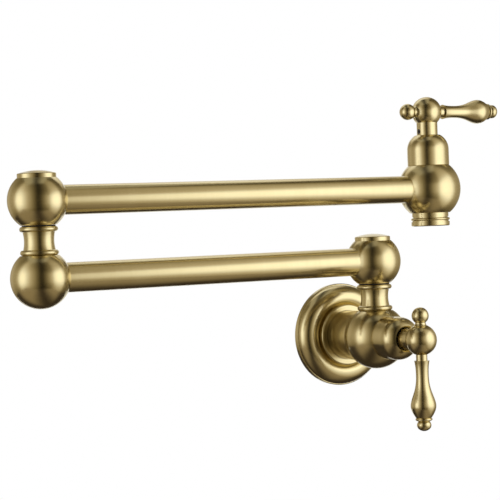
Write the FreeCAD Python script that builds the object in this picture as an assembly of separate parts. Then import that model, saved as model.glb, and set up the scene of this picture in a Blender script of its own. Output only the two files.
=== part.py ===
import FreeCAD, Part
import math
import os

# Wall-mounted pot filler tap with two folding arms, in millimetres.
# The wall is the plane y = 0, the room lies towards -y and z points up.
# The origin is the middle of the inlet thread's mouth, flush with the wall.

# Layout
lower_arm_length = 250.0          # post's axis to the elbow's
upper_arm_length = 300.0          # elbow's axis to the spout's
post_offset = 49.4                # wall to the post's swivel axis

# Clearances and cutting
thread_clearance = 0.02           # radial, screwed, soldered and pressed pieces
running_clearance = 0.05          # radial, turning fits
end_play = 0.10                   # axial, between faces that turn on each other
seat_land = 0.1                   # flat left showing round a piece that sits on a ball
cut_overrun = 1.0                 # how far a cut runs past the face that it opens

# Inlet and wall flange
inlet_thread_radius = 9.3         # minor radius of a half-inch pipe thread
inlet_thread_length = 16.0
stub_radius = 17.5
flange_radius = 36.7
flange_rim_height = 3.5
flange_rim_step = 0.8
flange_rim_edge = 0.5
flange_wall = 2.0
flange_dome_height = 11.8         # at the dome's crest
flange_crest_inset = 9.2          # crest's radius inside the dome's foot
flange_dish_drop = 1.8            # crest to the dome's inner edge
flange_bore_gap = 0.2
flange_ring_width = 4.1
flange_ring_rise = 4.2            # ring's top over the groove beside it
flange_ring_round = 1.2
flange_groove_width = 1.0
flange_groove_depth = 1.0
flange_boss_back = 3.0            # wall to the back end of the boss that rides on the stub
flange_seal_section = 2.0
flange_seal_level = 7.2

# Balls
ball_radius = 19.2                # balls of the swivels
valve_ball_radius = 22.2          # balls that hold a valve, at the wall and at the spout
ball_foot_step = 0.9              # the foot of a turning ball is this much inside the collar below

# Arm tubes and their sockets
tube_radius = 9.6
tube_wall = 1.5
arm_passage_radius = 7.0
socket_wall = 3.4                 # metal between a socket's floor and the bore behind it

# Swivels
waterway_radius = 4.6
bolt_radius = 8.0
bolt_thread_step = 0.5
bolt_thread_relief = 0.4
bolt_thread_floor = 2.0           # metal between the bolt's end and the valve chamber
bolt_head_overhang = 1.65
bolt_head_height = 3.4
bolt_socket_flats = 10.0
bolt_socket_depth = 2.4
bolt_port_radius = 3.0
bolt_bore_roof = 2.0              # bore goes on past the ports by this much
bolt_ports = 4
swivel_gallery_depth = 1.4
swivel_seal_section = 2.0
seal_land = 0.8                   # metal beside a seal groove
groove_width_share = 1.2          # width of a seal groove over the seal's section
thrust_washer_thickness = 0.6
head_washer_thickness = 0.5
washer_inset = 0.2

# Neck sleeves
sleeve_length = 18.4
sleeve_waist_wall = 1.5
sleeve_waist_flare = 0.7
sleeve_collar_overhang = 2.7
sleeve_collar_height = 3.5
sleeve_collar_round = 1.4

# Caps
cap_plug_gap = 0.35               # bolt head to the cap's plug
cap_plug_wall = 1.0
cap_plug_length = 2.8
cap_overhang = 1.4
cap_flat_land = 0.46
cap_rim_height = 3.0
cap_rim_edge = 0.6
cap_height = 4.9
cap_roof = 2.2

# Ceramic cartridge, alike in both valves
disc_radius = 6.85
disc_thickness = 3.0
disc_hub_radius = 1.5
disc_port_land = 0.3
disc_port_span = 84.0             # degrees
moving_disc_gap = 0.4
barrel_wall = 1.1
flow_gap = 0.6
cartridge_thread_step = 1.0
cartridge_thread_length = 10.0
cartridge_thread_relief = 0.5
cartridge_seal_section = 1.8
cartridge_flange_land = 1.4
cartridge_flange_height = 3.3
cartridge_window_width = 7.0
cartridge_window_margin = 0.6
gland_wall = 2.35
gland_height = 4.5
seat_seal_height = 2.0
seat_seal_proud = 0.6
spindle_radius = 4.0
spindle_foot_thickness = 3.0
spindle_spline_depth = 0.5
spindle_spline_teeth = 16
spindle_seal_section = 1.2
tang_width = 2.6
tang_depth = 1.2

# Bonnet, alike on both valves
valve_neck_height = 3.5
valve_neck_wall = 4.2
bonnet_wall = 1.6
bonnet_lip = 0.9
bonnet_foot_edge = 0.35           # bevel that draws the seam between a bonnet and its ball
bonnet_height = 21.8
bonnet_straight = 11.5

# Handle, alike on both valves
skirt_radius = 7.4
skirt_gap = 0.75
skirt_engagement = 3.0            # how far the skirt reaches down inside the bonnet
hub_radius = 10.65
hub_rise = 16.6                   # bonnet's top to the hub's centre
hub_web = 1.5
stud_radius = 2.5
stud_core_radius = 2.6            # both studs stop this far from the hub's axis
set_screw_radius = 1.9
set_screw_rise = 2.6
set_screw_recess = 0.4
set_screw_socket_flats = 2.0
set_screw_socket_depth = 1.4
lever_length = 61.5
lever_neck_radius = 3.8
bulb_radius = 8.6
finial_reach = 16.3
finial_radius = 5.75
finial_foot_radius = 4.3
finial_neck_radius = 3.5

# Lever outline: places along the lever's length, and girths over the bulb's radius
lever_vase_shares = (
    (0.227, 0.60),
    (0.274, 0.54),
    (0.371, 0.50),
    (0.466, 0.53),
    (0.563, 0.68),
    (0.658, 0.92),
    (0.736, 1.00),
    (0.803, 0.84),
    (0.857, 0.60),
)
lever_ring_shares = ((0.871, 0.67), (0.884, 0.61))
lever_tip_neck_shares = (0.893, 0.44)
lever_tip_ball_shares = ((0.941, 0.565), (0.981, 0.40))

# Outlet and aerator
outlet_web = 5.0                  # metal between the valve seat and the outlet's bore
outlet_bore_radius = 11.2         # minor radius of a 24 mm aerator thread
outlet_stub_height = 2.8          # stub below the ball's foot
outlet_stub_wall = 1.75
outlet_foot_land = 1.2
aerator_gap_height = 0.7
aerator_gap_inset = 0.5
aerator_bead_height = 1.9
aerator_bead_overhang = 0.9
aerator_groove_height = 0.9
aerator_skirt_height = 3.1
aerator_skirt_overhang = 0.7
aerator_skirt_edge = 0.6
aerator_wall = 1.0
aerator_lip_height = 1.0
aerator_lip_width = 0.9
aerator_washer_thickness = 1.5
aerator_washer_width = 2.0
aerator_plate_thickness = 2.0
aerator_insert_wall = 1.2
aerator_hole_radius = 0.85
aerator_hole_pitch = 3.1
aerator_hole_rings = 2
aerator_holes_per_ring = 6        # holes in the first ring, and as many more in each next one

# Angles and counts
hexagon_sides = 6
full_turn = 360.0
half_turn = 180.0
quarter_turn = 90.0

ORIGIN = FreeCAD.Vector(0, 0, 0)
X_AXIS = FreeCAD.Vector(1, 0, 0)
Y_AXIS = FreeCAD.Vector(0, 1, 0)
Z_AXIS = FreeCAD.Vector(0, 0, 1)


def height_on_ball(radius, ring_radius):
    """Height over a ball's centre at which its surface has the given ring radius."""
    return math.sqrt(radius ** 2 - ring_radius ** 2)


# Sizes that follow from the ones above
bolt_bore_radius = bolt_radius + running_clearance
bolt_thread_radius = bolt_radius - bolt_thread_step
bolt_head_radius = bolt_radius + bolt_head_overhang
cap_plug_bore = bolt_head_radius + cap_plug_gap
cap_plug_radius = cap_plug_bore + cap_plug_wall
cap_radius = cap_plug_radius + cap_overhang
ball_top = height_on_ball(ball_radius, cap_radius + cap_flat_land)

sleeve_bore = bolt_radius + thread_clearance
sleeve_waist_radius = sleeve_bore + sleeve_waist_wall
sleeve_collar_radius = sleeve_waist_radius + sleeve_collar_overhang
sleeve_seat_radius = sleeve_collar_radius + seat_land
ball_foot_radius = sleeve_collar_radius - ball_foot_step
ball_foot = height_on_ball(ball_radius, ball_foot_radius)
elbow_seat = height_on_ball(ball_radius, sleeve_seat_radius)
body_seat = height_on_ball(valve_ball_radius, sleeve_seat_radius)
neck_length = sleeve_length + thrust_washer_thickness + end_play
swivel_shoulder = ball_top - head_washer_thickness - end_play - bolt_head_height
swivel_groove_width = swivel_seal_section * groove_width_share
lower_seal_level = -(arm_passage_radius + seal_land + swivel_groove_width / 2)
upper_seal_level = swivel_shoulder - seal_land - swivel_groove_width / 2
swivel_seal_levels = (lower_seal_level, upper_seal_level)

lower_arm_level = body_seat + neck_length + ball_foot
upper_arm_level = lower_arm_level + elbow_seat + neck_length + ball_foot

barrel_bore = disc_radius + thread_clearance
barrel_radius = barrel_bore + barrel_wall
chamber_radius = barrel_radius + flow_gap
cartridge_thread_radius = barrel_radius + cartridge_thread_step
cartridge_groove_width = cartridge_seal_section * groove_width_share
cartridge_seal_margin = seal_land + cartridge_groove_width / 2
cartridge_seal_depth = cartridge_thread_length + cartridge_thread_relief + cartridge_seal_margin
barrel_roof_depth = cartridge_seal_depth + cartridge_seal_margin
foot_low = -(barrel_roof_depth + end_play + spindle_foot_thickness)
moving_disc_low = foot_low - disc_thickness
fixed_disc_top = moving_disc_low - running_clearance
fixed_disc_low = fixed_disc_top - disc_thickness
valve_seat = fixed_disc_low - seat_seal_height
bolt_thread_length = body_seat - chamber_radius - bolt_thread_floor

valve_neck_radius = cartridge_thread_radius + valve_neck_wall
bonnet_radius = valve_neck_radius + thread_clearance + bonnet_wall
bonnet_seat = height_on_ball(valve_ball_radius, bonnet_radius + seat_land)
valve_neck_top = bonnet_seat + valve_neck_height

socket_floor = bolt_bore_radius + socket_wall
spout_socket_floor = outlet_bore_radius + socket_wall
socket_radius = tube_radius + thread_clearance

flange_seal_outer = stub_radius + thread_clearance + flange_seal_section
cartridge_seal_inner = chamber_radius - thread_clearance - cartridge_seal_section
spindle_seal_level = cartridge_flange_height / 2

outlet_stub_radius = outlet_bore_radius + outlet_stub_wall
outlet_foot_radius = outlet_stub_radius + outlet_foot_land
outlet_foot = height_on_ball(valve_ball_radius, outlet_foot_radius)
outlet_top = valve_neck_top + valve_seat - outlet_web
outlet_low = -(outlet_foot + outlet_stub_height)


class Outline:
    """Half section of a turned piece, drawn as radius and height, and turned about z."""

    def __init__(self, radius, height):
        self.first = FreeCAD.Vector(radius, 0, height)
        self.last = self.first
        self.edges = []

    def line(self, radius, height):
        """Go straight to a point."""
        end = FreeCAD.Vector(radius, 0, height)
        if end.distanceToPoint(self.last) > 0:
            self.edges.append(Part.LineSegment(self.last, end).toShape())
        self.last = end
        return self

    def arc(self, middle, radius, height):
        """Go along the circle arc that passes through the middle point."""
        end = FreeCAD.Vector(radius, 0, height)
        on_arc = FreeCAD.Vector(middle[0], 0, middle[1])
        self.edges.append(Part.Arc(self.last, on_arc, end).toShape())
        self.last = end
        return self

    def curve(self, points):
        """Go along one smooth curve through the points, the first of which is where the outline stands."""
        places = [FreeCAD.Vector(radius, 0, height) for radius, height in points]
        smooth = Part.BSplineCurve()
        smooth.interpolate(places)
        self.edges.append(smooth.toShape())
        self.last = places[-1]
        return self

    def turned(self):
        """Close the section and turn it into a solid."""
        self.line(self.first.x, self.first.z)
        face = Part.Face(Part.Wire(self.edges))
        return face.revolve(ORIGIN, Z_AXIS, full_turn)


def slope_point(crest, end):
    """Middle of the arc that leaves a crest level and falls to a point inside or outside it."""
    across = end[0] - crest[0]
    drop = crest[1] - end[1]
    bend = (across ** 2 + drop ** 2) / (2 * drop)
    half_angle = math.atan2(across, bend - drop) / 2
    return (crest[0] + bend * math.sin(half_angle), crest[1] - bend + bend * math.cos(half_angle))


def shoulder_point(radius, low, end_radius, high):
    """Middle of the arc that leaves a straight wall smoothly and ends at the given ring."""
    inward = radius - end_radius
    rise = high - low
    bend = (inward ** 2 + rise ** 2) / (2 * inward)
    half_angle = math.atan2(rise, bend - inward) / 2
    return (radius - bend + bend * math.cos(half_angle), low + bend * math.sin(half_angle))


def slope_waist(foot_radius, low, end_radius, high):
    """Middle of the hollow arc that narrows from a foot and ends upright."""
    inward = foot_radius - end_radius
    rise = high - low
    bend = (inward ** 2 + rise ** 2) / (2 * inward)
    half_angle = math.atan2(rise, bend - inward) / 2
    return (end_radius + bend - bend * math.cos(half_angle), high - bend * math.sin(half_angle))


def crown_point(radius, low, high):
    """Middle of the arc that crowns a round end, from its edge to the axis."""
    rise = high - low
    bend = (radius ** 2 + rise ** 2) / (2 * rise)
    half_radius = radius / 2
    return (half_radius, high - bend + math.sqrt(bend ** 2 - half_radius ** 2))


def round_bar(radius, low, high):
    """Plain cylinder on the z axis between two heights."""
    return Part.makeCylinder(radius, high - low, Z_AXIS * low)


def washer(inner, outer, low, high):
    """Flat ring on the z axis."""
    return Outline(inner, low).line(outer, low).line(outer, high).line(inner, high).turned()


def side_bar(radius, start, end, axis, level):
    """Cylinder that runs sideways from the z axis at a level, between two distances."""
    return Part.makeCylinder(radius, end - start, axis * start + Z_AXIS * level, axis)


def o_ring(inner, outer, level):
    """Rubber ring of round section on the z axis."""
    return Part.makeTorus((inner + outer) / 2, (outer - inner) / 2, Z_AXIS * level)


def prism(radii, corners, low, high):
    """Upright prism on the z axis, whose corners take the radii in turn."""
    ring = []
    for corner in range(corners + 1):
        angle = 2 * math.pi * corner / corners
        reach = radii[corner % len(radii)]
        ring.append(FreeCAD.Vector(reach * math.cos(angle), reach * math.sin(angle), low))
    return Part.Face(Part.makePolygon(ring)).extrude(Z_AXIS * (high - low))


def hexagon(flats, low, high):
    """Hexagonal prism given across its flats."""
    corner = flats / (2 * math.cos(math.pi / hexagon_sides))
    return prism((corner,), hexagon_sides, low, high)


def sector(inner, outer, low, high, middle_angle, span):
    """Part of a flat ring, span degrees wide about a middle angle."""
    section = Outline(inner, low).line(outer, low).line(outer, high).line(inner, high)
    section.line(inner, low)
    wedge = Part.Face(Part.Wire(section.edges)).revolve(ORIGIN, Z_AXIS, span)
    wedge.rotate(ORIGIN, Z_AXIS, middle_angle - span / 2)
    return wedge


def placed(shape, heading, x, y, z):
    """Copy of a shape turned about z by a heading, then moved."""
    copy = shape.copy()
    copy.rotate(ORIGIN, Z_AXIS, heading)
    copy.translate(FreeCAD.Vector(x, y, z))
    return copy


def out_of_wall(shape):
    """Copy of a shape whose z axis is turned to point out of the wall, with its y axis up."""
    copy = shape.copy()
    copy.rotate(ORIGIN, X_AXIS, quarter_turn)
    return copy


def make_flange():
    """Rose with a rounded crest, a hollow back and a boss that rides on the inlet stub."""
    bore = stub_radius + flange_bore_gap
    ring = bore + flange_ring_width
    dish = (ring + flange_groove_width, flange_dome_height - flange_dish_drop)
    groove_floor = dish[1] - flange_groove_depth
    ring_top = groove_floor + flange_ring_rise
    ring_edge = ring_top - flange_ring_round
    rim = (flange_radius - flange_rim_step, flange_rim_height)
    crest = (rim[0] - flange_crest_inset, flange_dome_height)
    inner_rim = (rim[0] - flange_wall, rim[1])
    inner_crest = (crest[0], crest[1] - flange_wall)
    outline = Outline(bore, flange_boss_back)
    outline.line(bore, ring_top)
    outline.line(ring - flange_ring_round, ring_top)
    outline.arc(shoulder_point(ring, ring_edge, ring - flange_ring_round, ring_top), ring, ring_edge)
    outline.line(ring, groove_floor)
    outline.line(*dish)
    outline.arc(slope_point(crest, dish), *crest)
    outline.arc(slope_point(crest, rim), *rim)
    outline.line(flange_radius - flange_rim_edge, flange_rim_height)
    outline.line(flange_radius, flange_rim_height - flange_rim_edge)
    outline.line(flange_radius, 0)
    outline.line(inner_rim[0], 0)
    outline.line(*inner_rim)
    outline.arc(slope_point(inner_crest, inner_rim), *inner_crest)
    outline.line(ring, groove_floor - flange_wall)
    outline.line(ring, flange_boss_back)
    groove_half = flange_seal_section * groove_width_share / 2
    groove = washer(stub_radius, flange_seal_outer + thread_clearance,
                    flange_seal_level - groove_half, flange_seal_level + groove_half)
    return outline.turned().cut(groove)


def valve_top(outline, level):
    """Carry an outline over a valve ball, round its neck and down to the cartridge's seat."""
    seat_level = level + bonnet_seat
    neck_top = level + valve_neck_top
    thread_low = neck_top - cartridge_thread_length - cartridge_thread_relief
    seat = neck_top + valve_seat
    outline.arc((valve_ball_radius, level), bonnet_radius + seat_land, seat_level)
    outline.line(valve_neck_radius, seat_level)
    outline.line(valve_neck_radius, neck_top)
    outline.line(cartridge_thread_radius + thread_clearance, neck_top)
    outline.line(cartridge_thread_radius + thread_clearance, thread_low)
    outline.line(chamber_radius, thread_low)
    outline.line(chamber_radius, seat)
    return outline.line(waterway_radius, seat)


def make_valve_body():
    """Wall casting: inlet stub, ball with the valve chamber, and the seat of the post's neck on top."""
    outline = Outline(inlet_thread_radius, 0)
    outline.line(stub_radius, 0)
    outline.line(stub_radius, post_offset - height_on_ball(valve_ball_radius, stub_radius))
    valve_top(outline, post_offset)
    outline.line(waterway_radius, inlet_thread_length)
    outline.line(inlet_thread_radius, inlet_thread_length)
    casting = out_of_wall(outline.turned())
    thread_end = body_seat - bolt_thread_length - bolt_thread_relief
    post_cuts = round_bar(valve_ball_radius, body_seat, valve_ball_radius + cut_overrun)
    post_cuts = post_cuts.fuse(round_bar(bolt_thread_radius + thread_clearance, thread_end, body_seat))
    post_cuts = post_cuts.fuse(round_bar(waterway_radius, chamber_radius - cut_overrun, body_seat))
    post_cuts.translate(Y_AXIS * -post_offset)
    return casting.cut(post_cuts)


def cut_arm_socket(ball, floor, passage_start):
    """Open a ball towards +x: the passage for the water, then the socket for the arm's tube."""
    ball = ball.cut(side_bar(arm_passage_radius, passage_start, floor + cut_overrun, X_AXIS, 0))
    return ball.cut(side_bar(socket_radius, floor, valve_ball_radius + ball_radius, X_AXIS, 0))


def make_turning_ball():
    """Ball that turns on a swivel bolt, with a gallery for the water and a seat for its cap."""
    cap_bore = cap_plug_radius + thread_clearance
    gallery = bolt_bore_radius + swivel_gallery_depth
    outline = Outline(bolt_bore_radius, -ball_foot)
    outline.line(ball_foot_radius, -ball_foot)
    outline.arc((ball_radius, 0), cap_radius + cap_flat_land, ball_top)
    outline.line(cap_bore, ball_top)
    outline.line(cap_bore, swivel_shoulder)
    outline.line(bolt_bore_radius, swivel_shoulder)
    outline.line(bolt_bore_radius, bolt_port_radius)
    outline.line(gallery, bolt_port_radius)
    outline.line(gallery, -bolt_port_radius)
    outline.line(bolt_bore_radius, -bolt_port_radius)
    return cut_arm_socket(outline.turned(), socket_floor, 0)


def make_elbow_lower_ball():
    """Ball at the end of the lower arm, round underneath, that carries the elbow's bolt."""
    thread_bore = bolt_thread_radius + thread_clearance
    thread_end = elbow_seat - bolt_thread_length - bolt_thread_relief
    outline = Outline(0, -ball_radius)
    outline.arc((ball_radius, 0), sleeve_seat_radius, elbow_seat)
    outline.line(thread_bore, elbow_seat)
    outline.line(thread_bore, thread_end)
    outline.line(waterway_radius, thread_end)
    outline.line(waterway_radius, 0)
    outline.line(0, 0)
    return cut_arm_socket(outline.turned(), socket_floor, -waterway_radius)


def make_neck_sleeve():
    """Waisted sleeve with a bead at both ends, standing on z = 0."""
    bead_root = sleeve_collar_radius - sleeve_collar_round
    waist_end = sleeve_waist_radius + sleeve_waist_flare
    upper_bead = sleeve_length - sleeve_collar_height
    outline = Outline(sleeve_bore, 0)
    outline.line(bead_root, 0)
    outline.arc((sleeve_collar_radius, sleeve_collar_height / 2), bead_root, sleeve_collar_height)
    outline.line(waist_end, sleeve_collar_height)
    outline.arc((sleeve_waist_radius, sleeve_length / 2), waist_end, upper_bead)
    outline.line(bead_root, upper_bead)
    upper_middle = sleeve_length - sleeve_collar_height / 2
    outline.arc((sleeve_collar_radius, upper_middle), bead_root, sleeve_length)
    outline.line(sleeve_bore, sleeve_length)
    return outline.turned()


def make_swivel_bolt():
    """Hollow bolt that a ball turns on: thread, bearing with ports and seal grooves, socket head."""
    shoulder = -(ball_foot + neck_length)
    bottom = shoulder - bolt_thread_length
    head_low = swivel_shoulder + head_washer_thickness + end_play
    head_top = head_low + bolt_head_height
    bore_top = bolt_port_radius + bolt_bore_roof
    groove_floor = bolt_radius - swivel_seal_section - thread_clearance
    outline = Outline(waterway_radius, bottom)
    outline.line(bolt_thread_radius, bottom)
    outline.line(bolt_thread_radius, shoulder)
    outline.line(bolt_radius, shoulder)
    for level in swivel_seal_levels:
        outline.line(bolt_radius, level - swivel_groove_width / 2)
        outline.line(groove_floor, level - swivel_groove_width / 2)
        outline.line(groove_floor, level + swivel_groove_width / 2)
        outline.line(bolt_radius, level + swivel_groove_width / 2)
    outline.line(bolt_radius, head_low)
    outline.line(bolt_head_radius, head_low)
    outline.line(bolt_head_radius, head_top)
    outline.line(0, head_top)
    outline.line(0, bore_top)
    outline.line(waterway_radius, bore_top)
    bolt = outline.turned()
    socket_low = head_top - bolt_socket_depth
    bolt = bolt.cut(hexagon(bolt_socket_flats, socket_low, head_top + cut_overrun))
    for port in range(bolt_ports):
        drill = side_bar(bolt_port_radius, 0, bolt_radius + cut_overrun, X_AXIS, 0)
        drill.rotate(ORIGIN, Z_AXIS, full_turn * port / bolt_ports)
        bolt = bolt.cut(drill)
    return bolt


def make_cap():
    """Shallow crowned cap whose plug screws into the top of a ball; z = 0 is the ball's top."""
    rim_edge = cap_rim_height - cap_rim_edge
    crown_edge = cap_radius - cap_rim_edge
    outline = Outline(cap_plug_bore, -cap_plug_length)
    outline.line(cap_plug_radius, -cap_plug_length)
    outline.line(cap_plug_radius, 0)
    outline.line(cap_radius, 0)
    outline.line(cap_radius, rim_edge)
    edge_middle = shoulder_point(cap_radius, rim_edge, crown_edge, cap_rim_height)
    outline.arc(edge_middle, crown_edge, cap_rim_height)
    outline.arc(crown_point(crown_edge, cap_rim_height, cap_height), 0, cap_height)
    outline.line(0, cap_height - cap_roof)
    outline.line(cap_plug_bore, cap_height - cap_roof)
    return outline.turned()


def make_swivel():
    """Pieces of one swivel, with the turning ball's centre at the origin."""
    sleeve_low = -(ball_foot + neck_length)
    washer_low = sleeve_low + sleeve_length
    washer_outer = sleeve_collar_radius - sleeve_collar_round - washer_inset
    seals = [o_ring(bolt_radius - swivel_seal_section, bolt_radius, level) for level in swivel_seal_levels]
    return {
        "neck_sleeve": placed(make_neck_sleeve(), 0, 0, 0, sleeve_low),
        "thrust_washer": washer(bolt_radius + washer_inset, washer_outer,
                                washer_low, washer_low + thrust_washer_thickness),
        "swivel_bolt": make_swivel_bolt(),
        "swivel_o_rings": Part.makeCompound(seals),
        "head_washer": washer(bolt_bore_radius + washer_inset, bolt_head_radius,
                              swivel_shoulder, swivel_shoulder + head_washer_thickness),
        "cap": placed(make_cap(), 0, 0, 0, ball_top),
    }


def make_tube(start, end):
    """Arm tube along +x between two distances from the first swivel axis."""
    tube = washer(tube_radius - tube_wall, tube_radius, start, end)
    tube.rotate(ORIGIN, Y_AXIS, quarter_turn)
    return tube


def slab(width, low, high):
    """Long upright slab along x, wide enough to cross a cartridge."""
    reach = chamber_radius + cut_overrun
    corner = FreeCAD.Vector(-reach, -width / 2, low)
    return Part.makeBox(2 * reach, width, high - low, corner)


def make_cartridge_body():
    """Brass housing of a cartridge, with its hexagon's underside at z = 0."""
    bearing = spindle_radius + running_clearance
    gland = bearing + gland_wall
    gland_top = cartridge_flange_height + gland_height
    flange_corner = cartridge_thread_radius + cartridge_flange_land
    groove_top = -(cartridge_seal_depth - cartridge_groove_width / 2)
    groove_low = -(cartridge_seal_depth + cartridge_groove_width / 2)
    groove_floor = cartridge_seal_inner - thread_clearance
    outline = Outline(bearing, gland_top)
    outline.line(gland, gland_top)
    outline.line(gland, 0)
    outline.line(cartridge_thread_radius, 0)
    outline.line(cartridge_thread_radius, -cartridge_thread_length)
    outline.line(barrel_radius, -cartridge_thread_length)
    outline.line(barrel_radius, groove_top)
    outline.line(groove_floor, groove_top)
    outline.line(groove_floor, groove_low)
    outline.line(barrel_radius, groove_low)
    outline.line(barrel_radius, valve_seat + seat_seal_proud)
    outline.line(barrel_bore, valve_seat + seat_seal_proud)
    outline.line(barrel_bore, -barrel_roof_depth)
    outline.line(bearing, -barrel_roof_depth)
    flange = prism((flange_corner,), hexagon_sides, 0, cartridge_flange_height)
    flange = flange.cut(round_bar(gland, -cut_overrun, cartridge_flange_height + cut_overrun))
    housing = outline.turned().fuse(flange).removeSplitter()
    windows = slab(cartridge_window_width, moving_disc_low, foot_low + cartridge_window_margin)
    return housing.cut(windows)


def make_fixed_disc():
    """Ceramic disc that stays with the housing, with two ports."""
    disc = round_bar(disc_radius, fixed_disc_low, fixed_disc_top)
    for middle_angle in (0, half_turn):
        port = sector(disc_hub_radius, waterway_radius - disc_port_land, fixed_disc_low - cut_overrun,
                      fixed_disc_top + cut_overrun, middle_angle, disc_port_span)
        disc = disc.cut(port)
    return disc


def make_moving_disc():
    """Ceramic disc of bow-tie shape that the spindle turns; closed at rest."""
    disc = round_bar(disc_radius - moving_disc_gap, moving_disc_low, foot_low)
    for middle_angle in (quarter_turn, -quarter_turn):
        notch = sector(disc_hub_radius, disc_radius, moving_disc_low - cut_overrun,
                       foot_low + cut_overrun, middle_angle, disc_port_span)
        disc = disc.cut(notch)
    slot_low = foot_low - tang_depth - thread_clearance
    slot = slab(tang_width + 2 * thread_clearance, slot_low, foot_low + cut_overrun)
    return disc.cut(slot)


def make_spindle(top, spline_low):
    """Spindle with a foot and tang below, a seal groove in its bearing and a spline on top."""
    foot_radius = disc_radius - moving_disc_gap
    foot_top = foot_low + spindle_foot_thickness
    groove_half = spindle_seal_section * groove_width_share / 2
    groove_floor = spindle_radius - spindle_seal_section - thread_clearance
    outline = Outline(0, foot_low)
    outline.line(foot_radius, foot_low)
    outline.line(foot_radius, foot_top)
    outline.line(spindle_radius, foot_top)
    outline.line(spindle_radius, spindle_seal_level - groove_half)
    outline.line(groove_floor, spindle_seal_level - groove_half)
    outline.line(groove_floor, spindle_seal_level + groove_half)
    outline.line(spindle_radius, spindle_seal_level + groove_half)
    outline.line(spindle_radius, spline_low)
    outline.line(0, spline_low)
    tang_low = foot_low - tang_depth
    tang = round_bar(foot_radius, tang_low, foot_low).common(slab(tang_width, tang_low, foot_low))
    spline = spline_prism(0, spline_low, top)
    return outline.turned().fuse([tang, spline]).removeSplitter()


def spline_prism(clearance, low, high):
    """Toothed prism of the spindle's end, or of the hub's bore when given a clearance."""
    crest = spindle_radius + clearance
    return prism((crest, crest - spindle_spline_depth), 2 * spindle_spline_teeth, low, high)


def make_bonnet():
    """Bell that screws over a valve's neck; z = 0 is the hexagon's underside."""
    base = -valve_neck_height
    inner = valve_neck_radius + thread_clearance
    top = base + bonnet_height
    shoulder = base + bonnet_straight
    hole = skirt_radius + skirt_gap
    lip = hole + bonnet_lip
    roof = top - bonnet_lip - bonnet_wall
    outline = Outline(inner, base)
    outline.line(bonnet_radius - bonnet_foot_edge, base)
    outline.line(bonnet_radius, base + bonnet_foot_edge)
    outline.line(bonnet_radius, shoulder)
    outline.arc(shoulder_point(bonnet_radius, shoulder, lip, top), lip, top)
    outline.line(hole, top - bonnet_lip)
    outline.line(hole, roof)
    outline.arc(shoulder_point(inner, shoulder, hole, roof), inner, shoulder)
    return outline.turned()


def make_hub(skirt_low, centre, screw_level, bore_top):
    """Handle hub: a ball on a skirt, bored for the spindle, the lever, the finial and the set screw."""
    outline = Outline(0, skirt_low)
    outline.line(skirt_radius, skirt_low)
    outline.line(skirt_radius, centre - height_on_ball(hub_radius, skirt_radius))
    outline.arc((hub_radius, centre), 0, centre + hub_radius)
    hub = outline.turned().cut(spline_prism(thread_clearance, skirt_low - cut_overrun, bore_top))
    for axis, neck in ((-Y_AXIS, lever_neck_radius), (Y_AXIS, finial_foot_radius)):
        seat = height_on_ball(hub_radius, neck + seat_land)
        hub = hub.cut(side_bar(neck + seat_land, seat, hub_radius + cut_overrun, axis, centre))
        stud_bore = stud_radius + thread_clearance
        hub = hub.cut(side_bar(stud_bore, stud_core_radius - end_play, seat, axis, centre))
    screw_bore = set_screw_radius + thread_clearance
    return hub.cut(side_bar(screw_bore, 0, skirt_radius + cut_overrun, Y_AXIS, screw_level))


def stud_outline(neck):
    """Outline of a piece that screws into a hub, up to the foot of its neck."""
    seat = height_on_ball(hub_radius, neck + seat_land)
    outline = Outline(0, stud_core_radius)
    outline.line(stud_radius, stud_core_radius)
    outline.line(stud_radius, seat)
    return outline.line(neck, seat)


def make_lever():
    """Turned baluster lever along z, from the hub's centre."""
    vase = [(girth * bulb_radius, place * lever_length) for place, girth in lever_vase_shares]
    (ring_place, ring_girth), (ring_end, ring_end_girth) = lever_ring_shares
    tip_place, tip_girth = lever_tip_neck_shares
    (ball_place, ball_girth), (crown_place, crown_girth) = lever_tip_ball_shares
    crown_edge = crown_girth * bulb_radius
    crown_low = crown_place * lever_length
    outline = stud_outline(lever_neck_radius)
    outline.line(lever_neck_radius, vase[0][1])
    outline.line(*vase[0])
    outline.curve(vase)
    ring_middle = (ring_girth * bulb_radius, ring_place * lever_length)
    outline.arc(ring_middle, ring_end_girth * bulb_radius, ring_end * lever_length)
    outline.line(tip_girth * bulb_radius, tip_place * lever_length)
    outline.arc((ball_girth * bulb_radius, ball_place * lever_length), crown_edge, crown_low)
    outline.arc(crown_point(crown_edge, crown_low, lever_length), 0, lever_length)
    return outline.turned()


def make_finial():
    """Small ball on a neck, along z from the hub's centre."""
    seat = height_on_ball(hub_radius, finial_foot_radius + seat_land)
    neck_top = finial_reach - height_on_ball(finial_radius, finial_neck_radius)
    outline = stud_outline(finial_foot_radius)
    waist = slope_waist(finial_foot_radius, seat, finial_neck_radius, neck_top)
    outline.arc(waist, finial_neck_radius, neck_top)
    outline.arc((finial_radius, finial_reach), 0, finial_reach + finial_radius)
    return outline.turned()


def make_set_screw():
    """Headless screw along z, from the spindle to just inside the skirt's surface."""
    outer_end = skirt_radius - set_screw_recess
    screw = round_bar(set_screw_radius, spindle_radius + thread_clearance, outer_end)
    socket_low = outer_end - set_screw_socket_depth
    return screw.cut(hexagon(set_screw_socket_flats, socket_low, outer_end + cut_overrun))


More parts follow.
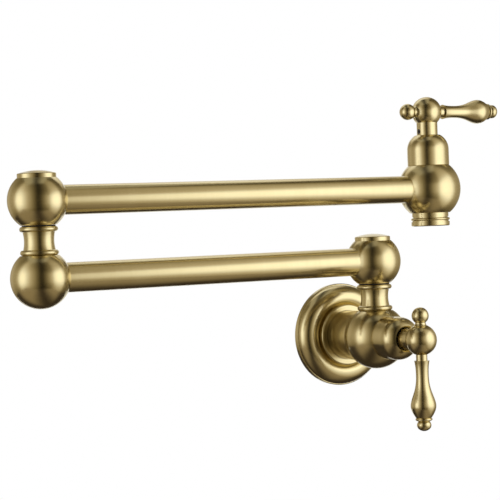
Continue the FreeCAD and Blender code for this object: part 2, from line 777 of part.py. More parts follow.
def make_valve_works():
    """Cartridge, bonnet and handle of a valve; z = 0 is its neck's top, and the lever points to -y."""
    bonnet_top = bonnet_height - valve_neck_height
    skirt_low = bonnet_top - skirt_engagement
    centre = bonnet_top + hub_rise
    screw_level = bonnet_top + set_screw_rise
    spindle_top = centre - stud_radius - hub_web
    spline_low = (cartridge_flange_height + gland_height + skirt_low) / 2
    lever = make_lever()
    lever.rotate(ORIGIN, X_AXIS, quarter_turn)
    finial = make_finial()
    finial.rotate(ORIGIN, X_AXIS, -quarter_turn)
    screw = make_set_screw()
    screw.rotate(ORIGIN, X_AXIS, -quarter_turn)
    seal_outer = chamber_radius - thread_clearance
    return {
        "cartridge_body": make_cartridge_body(),
        "cartridge_o_ring": o_ring(cartridge_seal_inner, seal_outer, -cartridge_seal_depth),
        "seat_seal": washer(waterway_radius, disc_radius, valve_seat, fixed_disc_low),
        "fixed_disc": make_fixed_disc(),
        "moving_disc": make_moving_disc(),
        "spindle": make_spindle(spindle_top, spline_low),
        "spindle_o_ring": o_ring(spindle_radius - spindle_seal_section, spindle_radius, spindle_seal_level),
        "bonnet": make_bonnet(),
        "handle_hub": make_hub(skirt_low, centre, screw_level, spindle_top + end_play),
        "handle_lever": placed(lever, 0, 0, 0, centre),
        "handle_finial": placed(finial, 0, 0, 0, centre),
        "handle_set_screw": placed(screw, 0, 0, 0, screw_level),
    }


def make_spout_ball():
    """Ball at the end of the upper arm: valve chamber above, threaded outlet stub below."""
    outline = Outline(outlet_bore_radius, outlet_low)
    outline.line(outlet_stub_radius, outlet_low)
    outline.line(outlet_stub_radius, -outlet_foot)
    outline.line(outlet_foot_radius, -outlet_foot)
    valve_top(outline, 0)
    outline.line(waterway_radius, outlet_top)
    outline.line(outlet_bore_radius, outlet_top)
    return cut_arm_socket(outline.turned(), spout_socket_floor, 0)


def make_aerator():
    """Shell, insert and washer that screw into the outlet; z = 0 is the spout ball's centre."""
    thread = outlet_bore_radius - thread_clearance
    bore = thread - aerator_wall
    top = outlet_top - aerator_washer_thickness
    gap_low = outlet_low - aerator_gap_height
    bead_low = gap_low - aerator_bead_height
    groove_low = bead_low - aerator_groove_height
    low = groove_low - aerator_skirt_height
    gap = outlet_stub_radius - aerator_gap_inset
    skirt = outlet_stub_radius + aerator_skirt_overhang
    lip_top = low + aerator_lip_height
    shell = Outline(bore, top)
    shell.line(thread, top)
    shell.line(thread, outlet_low)
    shell.line(gap, outlet_low)
    shell.line(gap, gap_low)
    shell.line(outlet_stub_radius, gap_low)
    bead_middle = (outlet_stub_radius + aerator_bead_overhang, (gap_low + bead_low) / 2)
    shell.arc(bead_middle, outlet_stub_radius, bead_low)
    shell.line(outlet_stub_radius, groove_low)
    shell.line(skirt, groove_low)
    shell.line(skirt, low + aerator_skirt_edge)
    shell.line(skirt - aerator_skirt_edge, low)
    shell.line(bore - aerator_lip_width, low)
    shell.line(bore - aerator_lip_width, lip_top)
    shell.line(bore, lip_top)
    cage = bore - thread_clearance
    plate_top = lip_top + aerator_plate_thickness
    insert = Outline(0, lip_top)
    insert.line(cage, lip_top)
    insert.line(cage, top)
    insert.line(cage - aerator_insert_wall, top)
    insert.line(cage - aerator_insert_wall, plate_top)
    insert.line(0, plate_top)
    insert = insert.turned().cut(round_bar(aerator_hole_radius, low, plate_top + cut_overrun))
    for ring in range(1, aerator_hole_rings + 1):
        holes = aerator_holes_per_ring * ring
        for place in range(holes):
            hole = round_bar(aerator_hole_radius, low, plate_top + cut_overrun)
            hole.translate(X_AXIS * (aerator_hole_pitch * ring))
            hole.rotate(ORIGIN, Z_AXIS, full_turn * place / holes)
            insert = insert.cut(hole)
    return {
        "aerator_shell": shell.turned(),
        "aerator_insert": insert,
        "aerator_washer": washer(thread - aerator_washer_width, thread, top, outlet_top),
    }


# Places of the elbow and of the spout, with the upper arm folded back over the lower one
elbow_x = -lower_arm_length
spout_x = elbow_x + upper_arm_length

pieces = {}

# Wall valve
pieces["wall_flange"] = out_of_wall(make_flange())
flange_seal = o_ring(stub_radius + thread_clearance, flange_seal_outer, flange_seal_level)
pieces["flange_o_ring"] = out_of_wall(flange_seal)
pieces["valve_body"] = make_valve_body()
valve_works = make_valve_works()
for name, shape in valve_works.items():
    pieces["wall_" + name] = out_of_wall(placed(shape, 0, 0, 0, post_offset + valve_neck_top))

# Post and elbow swivels
for name, shape in make_swivel().items():
    pieces["post_" + name] = placed(shape, 0, 0, -post_offset, lower_arm_level)
    pieces["elbow_" + name] = placed(shape, 0, elbow_x, -post_offset, upper_arm_level)

# Lower arm, stored along the wall towards -x
turning_ball = make_turning_ball()
pieces["post_ball"] = placed(turning_ball, half_turn, 0, -post_offset, lower_arm_level)
lower_tube = make_tube(socket_floor, lower_arm_length - socket_floor)
pieces["lower_arm_tube"] = placed(lower_tube, half_turn, 0, -post_offset, lower_arm_level)
pieces["elbow_lower_ball"] = placed(make_elbow_lower_ball(), 0, elbow_x, -post_offset, lower_arm_level)

# Upper arm, whose spout valve repeats the one at the wall, its lever along the arm
pieces["elbow_upper_ball"] = placed(turning_ball, 0, elbow_x, -post_offset, upper_arm_level)
upper_tube = make_tube(socket_floor, upper_arm_length - spout_socket_floor)
pieces["upper_arm_tube"] = placed(upper_tube, 0, elbow_x, -post_offset, upper_arm_level)
pieces["spout_ball"] = placed(make_spout_ball(), half_turn, spout_x, -post_offset, upper_arm_level)
for name, shape in make_aerator().items():
    pieces[name] = placed(shape, 0, spout_x, -post_offset, upper_arm_level)
spout_neck_level = upper_arm_level + valve_neck_top
for name, shape in valve_works.items():
    pieces["spout_" + name] = placed(shape, quarter_turn, spout_x, -post_offset, spout_neck_level)

os.makedirs("parts", exist_ok=True)
for name, shape in pieces.items():
    shape.exportStep("parts/" + name + ".step")
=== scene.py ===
import math

import bpy
import numpy as np
from mathutils import Matrix, Vector


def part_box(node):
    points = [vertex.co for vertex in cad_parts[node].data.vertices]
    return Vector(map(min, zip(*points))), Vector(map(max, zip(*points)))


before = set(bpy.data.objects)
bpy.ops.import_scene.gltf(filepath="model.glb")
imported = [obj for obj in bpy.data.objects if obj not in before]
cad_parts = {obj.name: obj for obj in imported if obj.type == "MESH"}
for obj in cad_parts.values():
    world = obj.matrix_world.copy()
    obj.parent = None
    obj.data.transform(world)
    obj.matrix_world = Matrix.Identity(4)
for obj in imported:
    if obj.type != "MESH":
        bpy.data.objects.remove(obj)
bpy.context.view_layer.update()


# Wall flange and its ring
# A domed rose, turned from brass on a lathe and brushed while it spins, so its fine lines run round
# its axis. It slides along the valve body's stub to hide the hole in the wall, and a rubber ring in
# its bore grips the stub.
OUT_OF_WALL = (0.0, -1.0, 0.0)
BRUSHED_GOLD_DEEP = (0.600, 0.505, 0.276, 1.0)
BRUSHED_GOLD_PALE = (0.660, 0.568, 0.328, 1.0)
RUBBER_SOOT = (0.012, 0.012, 0.013, 1.0)
RUBBER_GREY = (0.032, 0.031, 0.030, 1.0)


def axis_point(node, along):
    """The point of a turned piece's axis that is nearest to the frame's origin: the middle of the piece's
    box, less its part along the axis."""
    low, high = (Vector(corner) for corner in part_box(node))
    middle, axis = (low + high) / 2.0, Vector(along)
    return middle - axis * middle.dot(axis)


def add_node(tree, kind, inputs=(), **settings):
    """A shader node with its settings, each input given as a plain value or as a socket to link from."""
    made = tree.nodes.new(kind)
    for key, value in settings.items():
        setattr(made, key, value)
    for key, value in dict(inputs).items():
        if isinstance(value, bpy.types.NodeSocket):
            tree.links.new(value, made.inputs[key])
        else:
            made.inputs[key].default_value = value
    return made


def new_material(name):
    """An empty node material, and its tree."""
    material = bpy.data.materials.new(name)
    material.use_nodes = True
    material.node_tree.nodes.clear()
    return material, material.node_tree


def object_place(tree):
    """The surface point in the piece's own coordinates, in metres."""
    return add_node(tree, "ShaderNodeTexCoord").outputs["Object"]


def show(tree, shader):
    """Makes this shader what the material shows."""
    add_node(tree, "ShaderNodeOutputMaterial", {"Surface": shader.outputs[0]})


def noise(tree, place, scale, detail=3.0):
    """Soft random clouding between 0 and 1, with that many clouds to the metre."""
    clouds = add_node(tree, "ShaderNodeTexNoise", {"Vector": place, "Scale": scale, "Detail": detail})
    return clouds.outputs["Fac"]


def spread(tree, value, low=0.0, high=1.0):
    """A noise value between a quarter and three quarters, stretched to run from low to high."""
    settings = {"Value": value, "From Min": 0.25, "From Max": 0.75, "To Min": low, "To Max": high}
    return add_node(tree, "ShaderNodeMapRange", settings).outputs["Result"]


def reckon(tree, operation, first, second=0.0):
    """The result of one sum on one or two values."""
    return add_node(tree, "ShaderNodeMath", {0: first, 1: second}, operation=operation).outputs["Value"]


def two_tones(tree, share, first, second):
    """The first colour at share 0, the second at share 1, and an even mix between. The mix node's sockets for
    colours share their names with others, so they go by number."""
    return add_node(tree, "ShaderNodeMix", {0: share, 6: first, 7: second}, data_type="RGBA").outputs[2]


def lathe_place(tree, place, through, along):
    """The surface point as a lathe sees it: distance from the axis and height along it, as a flat vector."""
    turn = Vector(along).to_track_quat("Z", "Y").to_euler()
    settings = {"Vector": place, "Location": through, "Rotation": turn}
    lathe = add_node(tree, "ShaderNodeMapping", settings, vector_type="TEXTURE")
    parts = add_node(tree, "ShaderNodeSeparateXYZ", {"Vector": lathe.outputs["Vector"]})
    across = add_node(tree, "ShaderNodeCombineXYZ", {"X": parts.outputs["X"], "Y": parts.outputs["Y"]})
    reach = add_node(tree, "ShaderNodeVectorMath", {0: across.outputs["Vector"]}, operation="LENGTH")
    rings = add_node(tree, "ShaderNodeCombineXYZ", {"X": reach.outputs["Value"], "Y": parts.outputs["Z"]})
    return rings.outputs["Vector"]


def turned_metal(name, through, along, deep, pale, smooth=0.19, rough=0.24, line_scale=1100.0):
    """Metal brushed while it turns about an axis: noise of radius and height alone draws fine lines round
    the axis, slow clouding in space breaks them up, and colour and gloss follow the mean of the two."""
    material, tree = new_material(name)
    place = object_place(tree)
    lines = noise(tree, lathe_place(tree, place, through, along), scale=line_scale)
    cloud = noise(tree, place, scale=70.0, detail=2.0)
    mean = reckon(tree, "MULTIPLY", reckon(tree, "ADD", lines, cloud), 0.5)
    bump = add_node(tree, "ShaderNodeBump", {"Height": lines, "Strength": 0.02, "Distance": 0.0001})
    show(tree, add_node(tree, "ShaderNodeBsdfPrincipled", {
        "Base Color": two_tones(tree, spread(tree, mean), deep, pale),
        "Metallic": 1.0,
        "Roughness": spread(tree, mean, smooth, rough),
        "Normal": bump.outputs["Normal"]}))
    return material


def satin_brass(name, through, along):
    """The brushed gold finish of everything that shows."""
    return turned_metal(name, through, along, BRUSHED_GOLD_DEEP, BRUSHED_GOLD_PALE)


def mottled(name, first, second, scale, detail, smooth, rough, shine=0.5):
    """A plain material whose colour and gloss wander together between two tones."""
    material, tree = new_material(name)
    mottle = noise(tree, object_place(tree), scale, detail)
    show(tree, add_node(tree, "ShaderNodeBsdfPrincipled", {
        "Base Color": two_tones(tree, spread(tree, mottle), first, second),
        "Roughness": spread(tree, mottle, smooth, rough),
        "Specular IOR Level": shine}))
    return material


def seal_rubber():
    """Moulded black rubber: a faint mottle of grey and a slightly uneven sheen."""
    return mottled(
        "black_seal_rubber", RUBBER_SOOT, RUBBER_GREY, scale=900.0, detail=3.0, smooth=0.45, rough=0.65)


def dress(material, *nodes):
    """Gives these CAD pieces their finish."""
    for node in nodes:
        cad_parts[node].data.materials[0] = material


wall_axis_point = axis_point("wall_flange", OUT_OF_WALL)
rubber = seal_rubber()
wall_brass = satin_brass("satin_brass_about_wall_axis", wall_axis_point, OUT_OF_WALL)
dress(wall_brass, "wall_flange")
dress(rubber, "flange_o_ring")


# Valve body
# One brass casting: a round stub that passes through the flange, and the ball that holds the first
# valve. The supply pipe screws into the bore at the back of the stub, which is left plain here.
dress(wall_brass, "valve_body")


# Wall valve works
# The quarter-turn cartridge inside the body: two lapped ceramic discs, one held and one turned by a
# splined spindle, in a plain machined brass body that screws in by its hexagon and seals on rubber.
RAW_BRASS_DEEP = (0.50, 0.35, 0.12, 1.0)
RAW_BRASS_PALE = (0.74, 0.56, 0.24, 1.0)
CERAMIC_CREAM = (0.74, 0.71, 0.64, 1.0)
CERAMIC_WHITE = (0.84, 0.83, 0.80, 1.0)


def plain_brass(name, through, along):
    """Machined brass with no finish: yellower than the outside, with coarser tool lines."""
    return turned_metal(
        name, through, along, RAW_BRASS_DEEP, RAW_BRASS_PALE, smooth=0.22, rough=0.36, line_scale=700.0)


def valve_ceramic():
    """Lapped white ceramic: almost even, with the faintest cream clouding."""
    return mottled(
        "lapped_ceramic", CERAMIC_CREAM, CERAMIC_WHITE, scale=260.0, detail=4.0, smooth=0.12, rough=0.22)


ceramic = valve_ceramic()
wall_works = plain_brass("plain_brass_about_wall_axis", wall_axis_point, OUT_OF_WALL)
dress(wall_works, "wall_cartridge_body", "wall_spindle")
dress(ceramic, "wall_fixed_disc", "wall_moving_disc")
dress(rubber, "wall_cartridge_o_ring", "wall_seat_seal", "wall_spindle_o_ring")


# Wall bonnet
# The bell in front of the body's ball, turned from brass bar. It screws down on the cartridge and
# hides its hexagon.
dress(wall_brass, "wall_bonnet")


# Wall handle
# A turned hub slides over the splined spindle, held by a steel socket screw. The baluster lever and
# the small finial are turned by themselves and screwed into opposite sides of the hub.
UPWARDS = (0.0, 0.0, 1.0)
DARK_STEEL_DEEP = (0.10, 0.10, 0.105, 1.0)
DARK_STEEL_PALE = (0.24, 0.24, 0.25, 1.0)


def dark_steel(name, through, along):
    """Blackened steel of a socket screw: duller than the brass."""
    return turned_metal(name, through, along, DARK_STEEL_DEEP, DARK_STEEL_PALE, smooth=0.30, rough=0.45)


wall_lever_point = axis_point("wall_handle_lever", UPWARDS)
wall_screw_point = axis_point("wall_handle_set_screw", UPWARDS)
wall_lever_brass = satin_brass("satin_brass_about_wall_lever", wall_lever_point, UPWARDS)
wall_screw_steel = dark_steel("dark_steel_wall_screw", wall_screw_point, UPWARDS)
dress(wall_brass, "wall_handle_hub")
dress(wall_lever_brass, "wall_handle_lever", "wall_handle_finial")
dress(wall_screw_steel, "wall_handle_set_screw")


# Post swivel
# The first upright joint. A hollow bolt screws into the body's ball, and the post ball turns on it
# between a plastic thrust washer on the waisted sleeve and a washer under the bolt's head. A shallow
# cap closes the top.
BLACK_PLASTIC_DEEP = (0.008, 0.007, 0.006, 1.0)
BLACK_PLASTIC_PALE = (0.016, 0.015, 0.013, 1.0)


def moulded_acetal(name, deep, pale):
    """Moulded acetal plastic: a soft sheen with faint flow marks between two tones."""
    return mottled(name, deep, pale, scale=320.0, detail=3.0, smooth=0.40, rough=0.55, shine=0.25)


post_axis_point = axis_point("post_neck_sleeve", UPWARDS)
black_acetal = moulded_acetal("black_acetal", BLACK_PLASTIC_DEEP, BLACK_PLASTIC_PALE)
post_brass = satin_brass("satin_brass_about_post", post_axis_point, UPWARDS)
post_bolt_brass = plain_brass("plain_brass_about_post", post_axis_point, UPWARDS)
dress(post_brass, "post_neck_sleeve", "post_ball", "post_cap")
dress(post_bolt_brass, "post_swivel_bolt")
dress(black_acetal, "post_thrust_washer", "post_head_washer")
dress(rubber, "post_swivel_o_rings")


# Lower arm tube
# Drawn brass tube, brazed into the post ball and the elbow's lower ball. It is brushed while it turns,
# so its fine lines run round it.
ALONG_WALL = (1.0, 0.0, 0.0)
lower_arm_point = axis_point("lower_arm_tube", ALONG_WALL)
lower_arm_brass = satin_brass("satin_brass_about_lower_arm", lower_arm_point, ALONG_WALL)
dress(lower_arm_brass, "lower_arm_tube")


# Elbow swivel
# The second upright joint, built as the first: the lower ball is fixed to the lower arm and round
# underneath, and the upper ball carries the upper arm and turns on the hollow bolt.
elbow_axis_point = axis_point("elbow_neck_sleeve", UPWARDS)
elbow_brass = satin_brass("satin_brass_about_elbow", elbow_axis_point, UPWARDS)
elbow_bolt_brass = plain_brass("plain_brass_about_elbow", elbow_axis_point, UPWARDS)
dress(elbow_brass, "elbow_lower_ball", "elbow_neck_sleeve", "elbow_upper_ball", "elbow_cap")
dress(elbow_bolt_brass, "elbow_swivel_bolt")
dress(black_acetal, "elbow_thrust_washer", "elbow_head_washer")
dress(rubber, "elbow_swivel_o_rings")


# Upper arm tube
# The same drawn and brushed brass tube, but longer. It is brazed into the elbow's upper ball and the
# spout ball.
upper_arm_point = axis_point("upper_arm_tube", ALONG_WALL)
upper_arm_brass = satin_brass("satin_brass_about_upper_arm", upper_arm_point, ALONG_WALL)
dress(upper_arm_brass, "upper_arm_tube")


# Spout ball, works and bonnet
# A cast brass ball at the end of the upper arm, with the outlet stub below and the second
# quarter-turn cartridge above, under a bell like the wall valve's.
spout_axis_point = axis_point("spout_bonnet", UPWARDS)
spout_brass = satin_brass("satin_brass_about_spout", spout_axis_point, UPWARDS)
spout_works = plain_brass("plain_brass_about_spout", spout_axis_point, UPWARDS)
dress(spout_brass, "spout_ball", "spout_bonnet")
dress(spout_works, "spout_cartridge_body", "spout_spindle")
dress(ceramic, "spout_fixed_disc", "spout_moving_disc")
dress(rubber, "spout_cartridge_o_ring", "spout_seat_seal", "spout_spindle_o_ring")


# Spout handle
# The same turned brass handle as at the wall, lying flat: hub on the spindle, held by its steel
# socket screw, lever to the right, finial to the left.
spout_lever_point = axis_point("spout_handle_lever", ALONG_WALL)
spout_screw_point = axis_point("spout_handle_set_screw", ALONG_WALL)
spout_lever_brass = satin_brass("satin_brass_about_spout_lever", spout_lever_point, ALONG_WALL)
spout_screw_steel = dark_steel("dark_steel_spout_screw", spout_screw_point, ALONG_WALL)
dress(spout_brass, "spout_handle_hub")
dress(spout_lever_brass, "spout_handle_lever", "spout_handle_finial")
dress(spout_screw_steel, "spout_handle_set_screw")


# Aerator
# A screwed brass ring under the spout, with a white plastic sieve that mixes air into the water,
# and a rubber washer.
WHITE_PLASTIC_DEEP = (0.66, 0.65, 0.61, 1.0)
WHITE_PLASTIC_PALE = (0.80, 0.79, 0.76, 1.0)
white_acetal = moulded_acetal("white_acetal", WHITE_PLASTIC_DEEP, WHITE_PLASTIC_PALE)
dress(spout_brass, "aerator_shell")
dress(white_acetal, "aerator_insert")
dress(rubber, "aerator_washer")


# Camera
# A long lens a little over a metre away, to the left of the tap and almost level, rolled slightly as
# the photo is.
VIEW_TARGET = Vector((-0.12672, -0.10005, 0.06588))
VIEW_DISTANCE = 1.1
VIEW_AZIMUTH = math.radians(-29.19)
VIEW_ELEVATION = math.radians(0.95)
VIEW_ROLL = math.radians(2.21)
VIEW_LENS_MM = 124.015
VIEW_SENSOR_MM = 36.0
view_back = Vector((
    math.sin(VIEW_AZIMUTH) * math.cos(VIEW_ELEVATION),
    -math.cos(VIEW_AZIMUTH) * math.cos(VIEW_ELEVATION),
    math.sin(VIEW_ELEVATION)))
level_right = Vector((math.cos(VIEW_AZIMUTH), math.sin(VIEW_AZIMUTH), 0.0))
level_up = view_back.cross(level_right)
view_right = math.cos(VIEW_ROLL) * level_right - math.sin(VIEW_ROLL) * level_up
view_up = math.sin(VIEW_ROLL) * level_right + math.cos(VIEW_ROLL) * level_up
camera_lens = bpy.data.cameras.new("photo_view")
camera_lens.lens = VIEW_LENS_MM
camera_lens.sensor_width = VIEW_SENSOR_MM
camera = bpy.data.objects.new("photo_view", camera_lens)
camera.matrix_world = (
    Matrix.Translation(VIEW_TARGET + view_back * VIEW_DISTANCE)
    @ Matrix((view_right, view_up, view_back)).transposed().to_4x4())
bpy.context.collection.objects.link(camera)
bpy.context.scene.camera = camera


# Room and floor
# A white room that lights everything evenly, and a matt painted floor well below the tap. Far out
# the floor is shown plain white, so that it runs into the room without an edge.
FLOOR_LEVEL = -0.45
FLOOR_HALF = 40.0
FLOOR_PAINT_TO = 0.7
FLOOR_WHITE_FROM = 2.1
FLOOR_PAINT_DEEP = (0.83, 0.83, 0.825, 1.0)
FLOOR_PAINT_PALE = (0.855, 0.855, 0.85, 1.0)
ROOM_LIGHT = 1.0
PLAIN_WHITE = (1.0, 1.0, 1.0, 1.0)


def stage_sheet(name, middle, half_across, half_up):
    """A flat rectangle: its middle plus or minus two half sides."""
    corners = np.array([(-1, -1), (1, -1), (1, 1), (-1, 1)], dtype=float)
    points = np.array(middle) + corners @ np.array([half_across, half_up])
    mesh = bpy.data.meshes.new(name)
    mesh.from_pydata(points.tolist(), [], [(0, 1, 2, 3)])
    sheet = bpy.data.objects.new(name, mesh)
    bpy.context.collection.objects.link(sheet)
    return sheet


def eased(tree, value, start, end, low=0.0, high=1.0):
    """A value that eases from low at the start to high at the end, flat at both."""
    settings = {"Value": value, "From Min": start, "From Max": end, "To Min": low, "To Max": high}
    return add_node(tree, "ShaderNodeMapRange", settings, interpolation_type="SMOOTHSTEP").outputs["Result"]


def pale_floor_paint():
    """Matt white paint with a very faint roller mottle. Far out, the lens, reflections and glass see plain
    white: its share is the ease over the distance, and nothing for rays that only carry light."""
    material, tree = new_material("pale_floor_paint")
    place = object_place(tree)
    mottle = spread(tree, noise(tree, place, scale=6.0))
    paint = add_node(tree, "ShaderNodeBsdfPrincipled", {
        "Base Color": two_tones(tree, mottle, FLOOR_PAINT_DEEP, FLOOR_PAINT_PALE), "Roughness": 0.8})
    white = add_node(tree, "ShaderNodeEmission", {"Color": PLAIN_WHITE, "Strength": 1.0})
    path = add_node(tree, "ShaderNodeLightPath").outputs
    seen = reckon(tree, "MAXIMUM", path["Is Camera Ray"], path["Is Glossy Ray"])
    shown = reckon(tree, "MAXIMUM", seen, path["Is Transmission Ray"])
    away = add_node(tree, "ShaderNodeVectorMath", {0: place}, operation="LENGTH").outputs["Value"]
    white_share = reckon(tree, "MULTIPLY", shown, eased(tree, away, FLOOR_PAINT_TO, FLOOR_WHITE_FROM))
    show(tree, add_node(tree, "ShaderNodeMixShader", {
        0: white_share, 1: paint.outputs["BSDF"], 2: white.outputs["Emission"]}))
    return material


floor = stage_sheet("floor", (0.0, 0.0, FLOOR_LEVEL), (FLOOR_HALF, 0.0, 0.0), (0.0, FLOOR_HALF, 0.0))
floor.data.materials.append(pale_floor_paint())

room = bpy.data.worlds.new("pale_room")
room.use_nodes = True
room_tree = room.node_tree
room_tree.nodes.clear()
room_glow = add_node(room_tree, "ShaderNodeBackground", {"Color": PLAIN_WHITE, "Strength": ROOM_LIGHT})
add_node(room_tree, "ShaderNodeOutputWorld", {"Surface": room_glow.outputs["Background"]})
bpy.context.scene.world = room


# Light tent: card below
# The tent stands round the tap for the metal's reflections alone, open at the back, where the white
# room shows. Its floor is a card that only the reflections see, painted to put shade into them: warm
# grey on either side, near black under the lens and behind the tap.
CARD_LEVEL = -0.4
CARD_HALF_LONG = 0.76
CARD_HALF_DEEP = 0.75
CARD_TO_LEFT = 0.25
CARD_TO_BACK = 0.15
CARD_GAP_SIDE = -0.05
CARD_GREY_BESIDE = 0.34
CARD_GREY_FROM = 0.05
CARD_DARK_FROM = -0.3
# The card's two tones are painted shade seen in the metal's reflections: grey beside the gap, near black in
# it.
CARD_GREY = (0.34, 0.275, 0.175, 1.0)
CARD_PAINTED_SHADE = (0.035, 0.021, 0.009, 1.0)
lens_side = Vector((view_back.x, view_back.y, 0.0)).normalized()


def for_reflections(sheet):
    """Keeps a piece of the tent out of the picture and out of the room's even light, so that only shiny
    pieces see it."""
    sheet.visible_camera = False
    sheet.visible_diffuse = False
    sheet.visible_shadow = False


def beyond(tree, place, direction, start):
    """How far a place lies beyond the middle of the view in that direction, counted from a start there."""
    reach = add_node(tree, "ShaderNodeVectorMath", {0: place, 1: direction}, operation="DOT_PRODUCT")
    return reckon(tree, "SUBTRACT", reach.outputs["Value"], VIEW_TARGET.dot(direction) + start)


def reflected_shade_card():
    """Card paint that puts painted shade into the metal's reflections: the darker of two eases, one over the
    distance from the gap to the side and one towards the back, faintly mottled."""
    material, tree = new_material("reflected_shade_paint")
    place = object_place(tree)
    beside = reckon(tree, "ABSOLUTE", beyond(tree, place, level_right, CARD_GAP_SIDE))
    shade = eased(tree, beside, 0.0, CARD_GREY_BESIDE, low=1.0, high=0.0)
    fade = eased(tree, beyond(tree, place, lens_side, 0.0), CARD_GREY_FROM, CARD_DARK_FROM)
    mottle = spread(tree, noise(tree, place, scale=40.0), low=-0.02, high=0.02)
    uneven = reckon(tree, "ADD", mottle, reckon(tree, "MAXIMUM", shade, fade))
    show(tree, add_node(tree, "ShaderNodeBsdfPrincipled", {
        "Base Color": two_tones(tree, uneven, CARD_GREY, CARD_PAINTED_SHADE), "Roughness": 0.9}))
    return material


# A dark sheet seen only in the metal's reflections: painted shade for the lower edges of the brass.
card_middle = Vector((VIEW_TARGET.x, VIEW_TARGET.y, CARD_LEVEL))
card_middle -= CARD_TO_LEFT * level_right + CARD_TO_BACK * lens_side
card = stage_sheet("reflected_shade_card", card_middle, level_right * CARD_HALF_LONG, lens_side * CARD_HALF_DEEP)
card.data.materials.append(reflected_shade_card())
for_reflections(card)


# Light tent: softboxes
# Upright cloths that glow on their inner faces: a near one on the right and a farther one on the left,
# which fade towards a dark gap round the lens, and a small one high up behind the tap.
RIGHT_PATH = (
    (0.52, -1.68, 0.5), (0.6, -1.0, 0.45), (0.45, -0.38, 0.4), (0.45, -0.24, 0.5), (0.45, -0.16, 0.95),
    (0.45, -0.09, 1.5), (0.45, 0.0, 1.75), (0.45, 0.13, 1.8), (0.45, 0.24, 1.65), (0.45, 0.34, 1.4),
    (0.45, 0.42, 0.95), (0.32, 0.472, 0.58), (0.195, 0.522, 0.30), (0.12, 0.552, 0.16),
    (0.06, 0.576, 0.07), (0.0, 0.60, 0.03))
RIGHT_HEIGHTS = (
    (-0.44, 0.28), (-0.34, 0.34), (-0.2, 0.52), (-0.09, 0.8), (0.0, 1.0), (0.12, 1.05), (0.22, 1.0),
    (0.32, 0.72), (0.42, 0.45), (0.6, 0.34), (0.9, 0.28), (1.4, 0.2))
LEFT_PATH = (
    (0.0, 0.60, 0.03), (-0.06, 0.60, 0.03), (-0.12, 0.60, 0.10), (-0.18, 0.60, 0.18),
    (-0.29, 0.60, 0.38), (-0.45, 0.60, 0.62), (-0.64, 0.60, 1.0), (-0.86, 0.60, 1.4),
    (-0.95, 0.55, 1.7), (-0.95, 0.345, 1.75), (-0.95, 0.113, 1.1), (-0.95, -0.13, 0.5),
    (-0.95, -0.4, 0.5), (-0.95, -0.75, 0.6), (-0.9, -1.1, 0.5), (-0.52, -1.68, 0.5))
LEFT_HEIGHTS = (
    (-0.44, 0.45), (-0.3, 0.6), (-0.1, 0.9), (0.1, 1.0), (0.3, 0.95), (0.5, 0.75), (0.8, 0.5),
    (1.2, 0.35), (1.4, 0.3))
HIGH_BACK_PATH = ((-0.2, -0.32, 0.6), (0.0, -0.35, 1.2), (0.2, -0.32, 0.7))
HIGH_BACK_HEIGHTS = ((0.24, 0.5), (0.40, 1.0), (0.56, 1.0))
PANEL_COLUMNS = 65
PANEL_ROWS = 13
WARM_DIM = (1.0, 0.80, 0.42, 1.0)
WARM_GLOW = 0.1
WHITE_GLOW = 1.2


def glow_curve(tree, share, places, glows):
    """A smooth run of brightness along a share from 0 to 1, through pairs of a place and a glow."""
    peak = max(glows)
    curve = add_node(tree, "ShaderNodeFloatCurve", {"Value": share})
    line = curve.mapping.curves[0]
    line.points[0].location = (0.0, glows[0] / peak)
    line.points[1].location = (1.0, glows[-1] / peak)
    for place, glow in zip(places[1:-1], glows[1:-1]):
        line.points.new(place, glow / peak)
    curve.mapping.update()
    return reckon(tree, "MULTIPLY", curve.outputs["Value"], peak)


def panel_cloth(name, places, glow_along, stages, glow_up):
    """Cloth that glows on its inner face: the glow along the path times the glow up, and a warmer tint where
    the product is dim."""
    material, tree = new_material(name)
    shares = add_node(tree, "ShaderNodeUVMap", uv_map="shares").outputs["UV"]
    split = add_node(tree, "ShaderNodeSeparateXYZ", {"Vector": shares}).outputs
    along = glow_curve(tree, split["X"], places, glow_along)
    glow = reckon(tree, "MULTIPLY", along, glow_curve(tree, split["Y"], stages, glow_up))
    settings = {"Value": glow, "From Min": WARM_GLOW, "From Max": WHITE_GLOW}
    bright = add_node(tree, "ShaderNodeMapRange", settings).outputs["Result"]
    outer = add_node(tree, "ShaderNodeNewGeometry").outputs["Backfacing"]
    lit = reckon(tree, "MULTIPLY", glow, reckon(tree, "SUBTRACT", 1.0, outer))
    show(tree, add_node(tree, "ShaderNodeEmission", {
        "Color": two_tones(tree, bright, WARM_DIM, PLAIN_WHITE), "Strength": lit}))
    return material


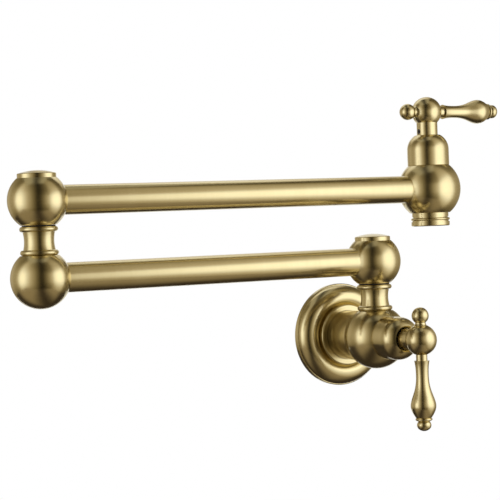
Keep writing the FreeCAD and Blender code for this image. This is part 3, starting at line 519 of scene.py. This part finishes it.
def glowing_panel(name, path, heights):
    """An upright softbox. Each stop of its path is metres to the right of the view's middle, metres towards
    the lens, and the glow there, and each of its heights is a level and the share of that glow. The cloth is
    a grid of shares of the path's length by shares of the height, and both shares are its UV map."""
    right, toward, glow_along = np.array(path, dtype=float).T
    level, glow_up = np.array(heights, dtype=float).T
    steps = np.concatenate([[0.0], np.cumsum(np.hypot(np.diff(right), np.diff(toward)))])
    places = steps / steps[-1]
    stages = (level - level[0]) / (level[-1] - level[0])
    share, rise = np.meshgrid(
        np.linspace(0.0, 1.0, PANEL_COLUMNS), np.linspace(0.0, 1.0, PANEL_ROWS), indexing="ij")
    points = (
        np.array((VIEW_TARGET.x, VIEW_TARGET.y, 0.0))
        + np.array(level_right) * np.interp(share, places, right)[..., None]
        + np.array(lens_side) * np.interp(share, places, toward)[..., None]
        + np.array(UPWARDS) * np.interp(rise, stages, level)[..., None])
    order = np.arange(share.size).reshape(share.shape)
    corners = [order[:-1, :-1], order[1:, :-1], order[1:, 1:], order[:-1, 1:]]
    faces = np.stack(corners, axis=-1).reshape(-1, 4)
    mesh = bpy.data.meshes.new(name)
    mesh.from_pydata(points.reshape(-1, 3).tolist(), [], faces.tolist())
    shares = np.stack([share, rise], axis=-1).reshape(-1, 2)
    mesh.uv_layers.new(name="shares").data.foreach_set("uv", shares[faces.ravel()].ravel())
    mesh.materials.append(panel_cloth(name + "_glow", places, glow_along, stages, glow_up))
    panel = bpy.data.objects.new(name, mesh)
    for_reflections(panel)
    bpy.context.collection.objects.link(panel)


glowing_panel("right_panel", RIGHT_PATH, RIGHT_HEIGHTS)
glowing_panel("left_panel", LEFT_PATH, LEFT_HEIGHTS)
glowing_panel("high_back_panel", HIGH_BACK_PATH, HIGH_BACK_HEIGHTS)


# Light tent: roof
# A flat cloth over the tent that glows by itself. It is dim in a band above the gap round the lens,
# and hangs level, well above the tap.
ROOF_LEVEL = 1.4
ROOF_HALF_LONG = 0.85
ROOF_HALF_DEEP = 1.2
ROOF_TO_LEFT = 0.2
ROOF_TO_BACK = 0.5
ROOF_GLOW = 0.5
ROOF_DIM = 0.06
ROOF_GAP_SIDE = -0.12
ROOF_GLOW_BESIDE = 0.45
WARM_ROOF = (1.0, 0.93, 0.74, 1.0)


def roof_cloth():
    """A warm glow that eases from dim at the gap to full beside it, times the faintest clouding."""
    material, tree = new_material("roof_cloth")
    place = object_place(tree)
    beside = reckon(tree, "ABSOLUTE", beyond(tree, place, level_right, ROOF_GAP_SIDE))
    glow = eased(tree, beside, 0.0, ROOF_GLOW_BESIDE, low=ROOF_DIM, high=ROOF_GLOW)
    clouding = spread(tree, noise(tree, place, scale=1.5, detail=2.0), low=0.96, high=1.04)
    show(tree, add_node(tree, "ShaderNodeEmission", {
        "Color": WARM_ROOF, "Strength": reckon(tree, "MULTIPLY", clouding, glow)}))
    return material


roof_middle = Vector((VIEW_TARGET.x, VIEW_TARGET.y, ROOF_LEVEL))
roof_middle -= ROOF_TO_LEFT * level_right + ROOF_TO_BACK * lens_side
roof = stage_sheet("roof", roof_middle, level_right * ROOF_HALF_LONG, lens_side * -ROOF_HALF_DEEP)
roof.data.materials.append(roof_cloth())
for_reflections(roof)

bpy.context.scene.view_settings.view_transform = "Standard"
